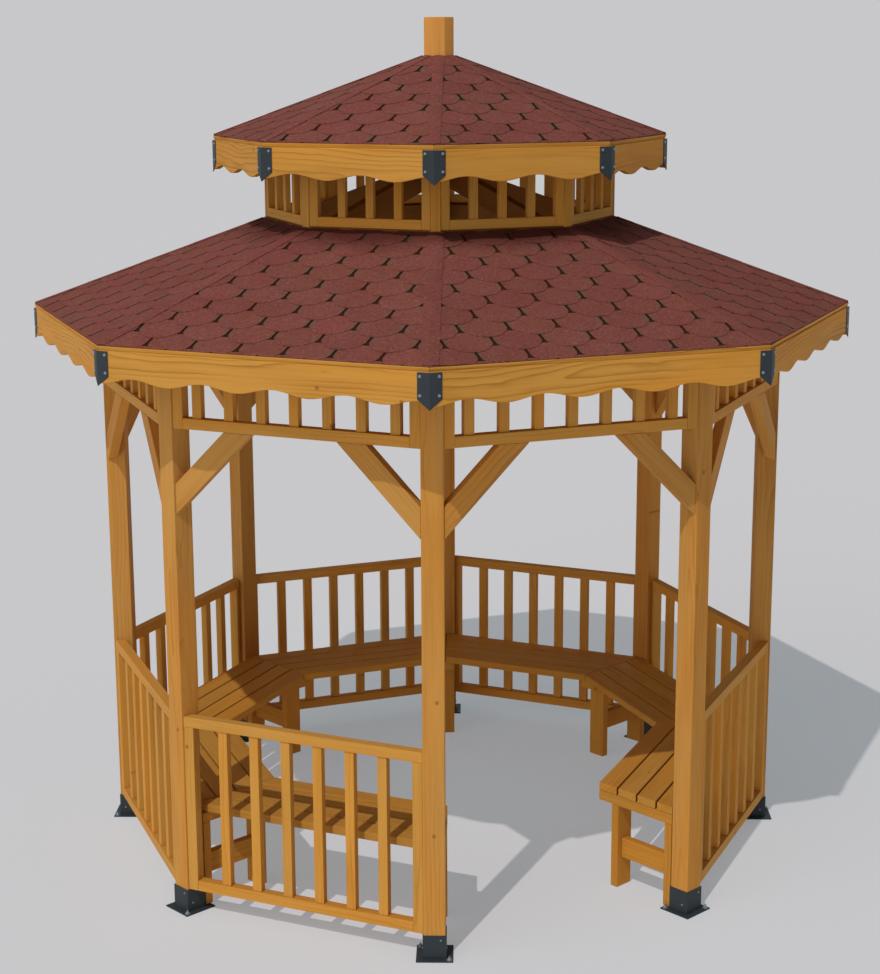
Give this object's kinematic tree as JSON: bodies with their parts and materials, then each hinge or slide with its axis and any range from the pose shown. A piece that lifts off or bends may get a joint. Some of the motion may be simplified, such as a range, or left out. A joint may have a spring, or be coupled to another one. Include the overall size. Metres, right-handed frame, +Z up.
{
  "type": "octagonal garden gazebo",
  "caption": "Octagonal timber garden gazebo with a two-tier shingled roof, open lantern, baluster panels and a fixed inner bench.",
  "frame": {"origin": "floor level under the centre of the octagon", "axes": "+Z up; the open entrance bay faces -Y"},
  "size_m": [3.441, 3.441, 3.7311],
  "materials": {
    "post_wood": "stained pine with a clear satin coat",
    "panel_wood": "stained pine with a clear satin coat",
    "bench_wood": "stained pine with a clear satin coat",
    "roof_timber": "stained pine, matt",
    "fascia_wood": "stained pine with a clear satin coat",
    "shingles": "bitumen shingles with red-brown mineral granules",
    "dark_steel": "dark slate grey powder coat",
    "bolt_steel": "zinc-plated bolt heads"
  },
  "bodies": {
    "root": {"post_1": "post_wood", "post_2": "post_wood", "post_3": "post_wood", "post_4": "post_wood", "post_5": "post_wood", "post_6": "post_wood", "post_7": "post_wood", "post_8": "post_wood", "post_shoes": "dark_steel", "rail_panel_1": "panel_wood", "rail_panel_2": "panel_wood", "rail_panel_3": "panel_wood", "rail_panel_4": "panel_wood", "rail_panel_5": "panel_wood", "rail_panel_6": "panel_wood", "rail_panel_7": "panel_wood", "frieze_panel_1": "panel_wood", "frieze_panel_2": "panel_wood", "frieze_panel_3": "panel_wood", "frieze_panel_4": "panel_wood", "frieze_panel_5": "panel_wood", "frieze_panel_6": "panel_wood", "frieze_panel_7": "panel_wood", "frieze_panel_8": "panel_wood", "knee_braces": "panel_wood", "bench_seat_1": "bench_wood", "bench_seat_2": "bench_wood", "bench_seat_3": "bench_wood", "bench_seat_4": "bench_wood", "bench_seat_5": "bench_wood", "bench_seat_6": "bench_wood", "bench_seat_7": "bench_wood", "bench_frames": "bench_wood", "lower_roof_frame": "roof_timber", "lower_roof_boards": "roof_timber", "lower_roof_shingles": "shingles", "lower_fascia": "fascia_wood", "corner_brackets": "dark_steel", "bracket_bolts": "bolt_steel", "lantern_posts": "post_wood", "lantern_panels": "panel_wood", "upper_roof_frame": "roof_timber", "upper_roof_boards": "roof_timber", "upper_roof_shingles": "shingles", "upper_fascia": "fascia_wood", "king_post": "post_wood"}
  },
  "joints": []
}
